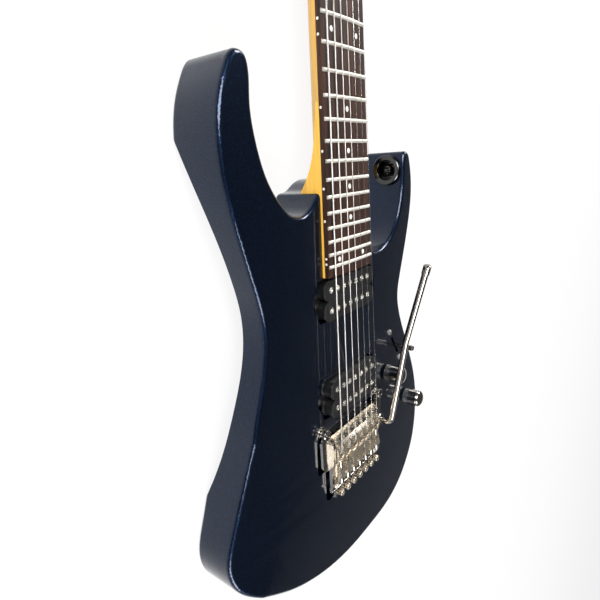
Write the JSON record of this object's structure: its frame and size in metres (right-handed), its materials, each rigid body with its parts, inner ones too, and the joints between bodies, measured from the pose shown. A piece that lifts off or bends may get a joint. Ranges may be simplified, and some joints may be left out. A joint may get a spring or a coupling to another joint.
{
  "type": "electric guitar",
  "caption": "Solid-body seven-string electric guitar with a locking vibrato bridge and arm, bolt-on maple neck, two humbucking pickups, knobs, selector lever and geared tuners.",
  "frame": {"origin": "on the body's flat back, on the guitar's centre line, between the spring cover and the neck screws; 140 mm up the neck from the line of the saddles", "axes": "+Z out of the guitar's face, +Y along the neck to the headstock, +X to the side of the thin strings and the controls; the guitar lies on its back"},
  "size_m": [0.2968, 1.0115, 0.1051],
  "materials": {
    "navy_lacquer": "deep navy metallic lacquer under clear coat",
    "maple": "amber satin maple",
    "rosewood": "oiled dark rosewood",
    "fret_nickel": "polished nickel silver",
    "marker_white": "white inlay",
    "dark_chrome": "smoked chrome",
    "steel": "plain steel",
    "string_steel": "wound and plain steel",
    "black_plastic": "black",
    "black_plate": "painted_black"
  },
  "bodies": {
    "guitar": {"body": "navy_lacquer", "neck": "maple", "fretboard": "rosewood", "frets": "fret_nickel", "fret_markers": "marker_white", "truss_rod": "steel", "truss_rod_cover": "black_plastic", "locking_nut_base": "dark_chrome", "nut_clamp_blocks": "dark_chrome", "headstock_screws": "dark_chrome", "string_retainer": "dark_chrome", "tuner_housings": "dark_chrome", "strings": "string_steel", "neck_pickup_bobbins": "black_plastic", "bridge_pickup_bobbins": "black_plastic", "pickup_pole_pieces": "steel", "pickup_baseplates": "black_plate", "potentiometers": "steel", "selector_switch": "steel", "output_jack": "dark_chrome", "pivot_studs": "dark_chrome", "tremolo_springs": "steel", "spring_claw": "steel", "neck_bolts": "dark_chrome", "strap_button": "dark_chrome", "strap_lock_cup": "dark_chrome", "strap_lock_stud": "dark_chrome", "spring_cover": "black_plastic", "control_cover": "black_plastic", "wood_screws": "steel"},
    "tremolo": {"tremolo_base_plate": "dark_chrome", "saddles": "dark_chrome", "bridge_screws": "dark_chrome", "sustain_block": "steel", "arm_socket": "dark_chrome"},
    "arm": {"tremolo_arm": "dark_chrome"},
    "volume": {"volume_knob": "dark_chrome"},
    "tone": {"tone_knob": "dark_chrome"},
    "selector": {"selector_lever": "dark_chrome"},
    "post_1": {"tuner_post_1": "dark_chrome"},
    "button_1": {"tuner_button_1": "dark_chrome"},
    "post_2": {"tuner_post_2": "dark_chrome"},
    "button_2": {"tuner_button_2": "dark_chrome"},
    "post_3": {"tuner_post_3": "dark_chrome"},
    "button_3": {"tuner_button_3": "dark_chrome"},
    "post_4": {"tuner_post_4": "dark_chrome"},
    "button_4": {"tuner_button_4": "dark_chrome"},
    "post_5": {"tuner_post_5": "dark_chrome"},
    "button_5": {"tuner_button_5": "dark_chrome"},
    "post_6": {"tuner_post_6": "dark_chrome"},
    "button_6": {"tuner_button_6": "dark_chrome"},
    "post_7": {"tuner_post_7": "dark_chrome"},
    "button_7": {"tuner_button_7": "dark_chrome"},
    "fine_1": {"fine_tuner_1": "dark_chrome"},
    "fine_2": {"fine_tuner_2": "dark_chrome"},
    "fine_3": {"fine_tuner_3": "dark_chrome"},
    "fine_4": {"fine_tuner_4": "dark_chrome"},
    "fine_5": {"fine_tuner_5": "dark_chrome"},
    "fine_6": {"fine_tuner_6": "dark_chrome"},
    "fine_7": {"fine_tuner_7": "dark_chrome"}
  },
  "joints": [
    {"name": "tremolo_pivot", "type": "hinge", "parent": "guitar", "child": "tremolo", "pos_m": [0, -0.123, 0.047], "axis": [1, 0, 0], "range_deg": [-8, 4], "stiffness_Nm_per_rad": 25, "deforming": ["strings", "tremolo_springs"]},
    {"name": "arm_swivel", "type": "hinge", "parent": "tremolo", "child": "arm", "pos_m": [0.0445, -0.148, 0.048], "axis": [0, 0, 1], "continuous": true},
    {"name": "volume_turn", "type": "hinge", "parent": "guitar", "child": "volume", "pos_m": [0.069, -0.1075, 0.05], "axis": [0, 0, 1], "range_deg": [-140, 140]},
    {"name": "tone_turn", "type": "hinge", "parent": "guitar", "child": "tone", "pos_m": [0.111, -0.1515, 0.05], "axis": [0, 0, 1], "range_deg": [-140, 140]},
    {"name": "selector_click", "type": "hinge", "parent": "guitar", "child": "selector", "pos_m": [0.0888, -0.0844, 0.029], "axis": [0.8387, 0.5446, 0], "range_deg": [-16, 16]},
    {"name": "post_turn_1", "type": "hinge", "parent": "guitar", "child": "post_1", "pos_m": [-0.0225, 0.55624, 0.04407], "axis": [0, 0.0797, 0.9968], "continuous": true},
    {"name": "button_turn_1", "type": "hinge", "parent": "guitar", "child": "button_1", "pos_m": [-0.03381, 0.55105, 0.01991], "axis": [-0.9622, 0.2714, -0.0217], "continuous": true},
    {"name": "post_turn_2", "type": "hinge", "parent": "guitar", "child": "post_2", "pos_m": [-0.01542, 0.58016, 0.04216], "axis": [0, 0.0797, 0.9968], "continuous": true},
    {"name": "button_turn_2", "type": "hinge", "parent": "guitar", "child": "button_2", "pos_m": [-0.02673, 0.57498, 0.01799], "axis": [-0.9622, 0.2714, -0.0217], "continuous": true},
    {"name": "post_turn_3", "type": "hinge", "parent": "guitar", "child": "post_3", "pos_m": [-0.00833, 0.60408, 0.04024], "axis": [0, 0.0797, 0.9968], "continuous": true},
    {"name": "button_turn_3", "type": "hinge", "parent": "guitar", "child": "button_3", "pos_m": [-0.01964, 0.5989, 0.01608], "axis": [-0.9622, 0.2714, -0.0217], "continuous": true},
    {"name": "post_turn_4", "type": "hinge", "parent": "guitar", "child": "post_4", "pos_m": [-0.00125, 0.62801, 0.03833], "axis": [0, 0.0797, 0.9968], "continuous": true},
    {"name": "button_turn_4", "type": "hinge", "parent": "guitar", "child": "button_4", "pos_m": [-0.01256, 0.62282, 0.01417], "axis": [-0.9622, 0.2714, -0.0217], "continuous": true},
    {"name": "post_turn_5", "type": "hinge", "parent": "guitar", "child": "post_5", "pos_m": [0.00583, 0.65193, 0.03642], "axis": [0, 0.0797, 0.9968], "continuous": true},
    {"name": "button_turn_5", "type": "hinge", "parent": "guitar", "child": "button_5", "pos_m": [-0.00548, 0.64675, 0.01225], "axis": [-0.9622, 0.2714, -0.0217], "continuous": true},
    {"name": "post_turn_6", "type": "hinge", "parent": "guitar", "child": "post_6", "pos_m": [0.01292, 0.67585, 0.03451], "axis": [0, 0.0797, 0.9968], "continuous": true},
    {"name": "button_turn_6", "type": "hinge", "parent": "guitar", "child": "button_6", "pos_m": [0.00161, 0.67067, 0.01034], "axis": [-0.9622, 0.2714, -0.0217], "continuous": true},
    {"name": "post_turn_7", "type": "hinge", "parent": "guitar", "child": "post_7", "pos_m": [0.02, 0.69978, 0.03259], "axis": [0, 0.0797, 0.9968], "continuous": true},
    {"name": "button_turn_7", "type": "hinge", "parent": "guitar", "child": "button_7", "pos_m": [0.00869, 0.69459, 0.00843], "axis": [-0.9622, 0.2714, -0.0217], "continuous": true},
    {"name": "fine_turn_1", "type": "hinge", "parent": "tremolo", "child": "fine_1", "pos_m": [-0.0312, -0.1835, 0.05], "axis": [0, 0, 1], "continuous": true},
    {"name": "fine_turn_2", "type": "hinge", "parent": "tremolo", "child": "fine_2", "pos_m": [-0.0208, -0.1835, 0.05], "axis": [0, 0, 1], "continuous": true},
    {"name": "fine_turn_3", "type": "hinge", "parent": "tremolo", "child": "fine_3", "pos_m": [-0.0104, -0.1835, 0.05], "axis": [0, 0, 1], "continuous": true},
    {"name": "fine_turn_4", "type": "hinge", "parent": "tremolo", "child": "fine_4", "pos_m": [0, -0.1835, 0.05], "axis": [0, 0, 1], "continuous": true},
    {"name": "fine_turn_5", "type": "hinge", "parent": "tremolo", "child": "fine_5", "pos_m": [0.0104, -0.1835, 0.05], "axis": [0, 0, 1], "continuous": true},
    {"name": "fine_turn_6", "type": "hinge", "parent": "tremolo", "child": "fine_6", "pos_m": [0.0208, -0.1835, 0.05], "axis": [0, 0, 1], "continuous": true},
    {"name": "fine_turn_7", "type": "hinge", "parent": "tremolo", "child": "fine_7", "pos_m": [0.0312, -0.1835, 0.05], "axis": [0, 0, 1], "continuous": true}
  ],
  "couplings": [
    {"joint": "post_turn_1", "follows": "button_turn_1", "ratio": 0.0625},
    {"joint": "post_turn_2", "follows": "button_turn_2", "ratio": 0.0625},
    {"joint": "post_turn_3", "follows": "button_turn_3", "ratio": 0.0625},
    {"joint": "post_turn_4", "follows": "button_turn_4", "ratio": 0.0625},
    {"joint": "post_turn_5", "follows": "button_turn_5", "ratio": 0.0625},
    {"joint": "post_turn_6", "follows": "button_turn_6", "ratio": 0.0625},
    {"joint": "post_turn_7", "follows": "button_turn_7", "ratio": 0.0625}
  ]
}
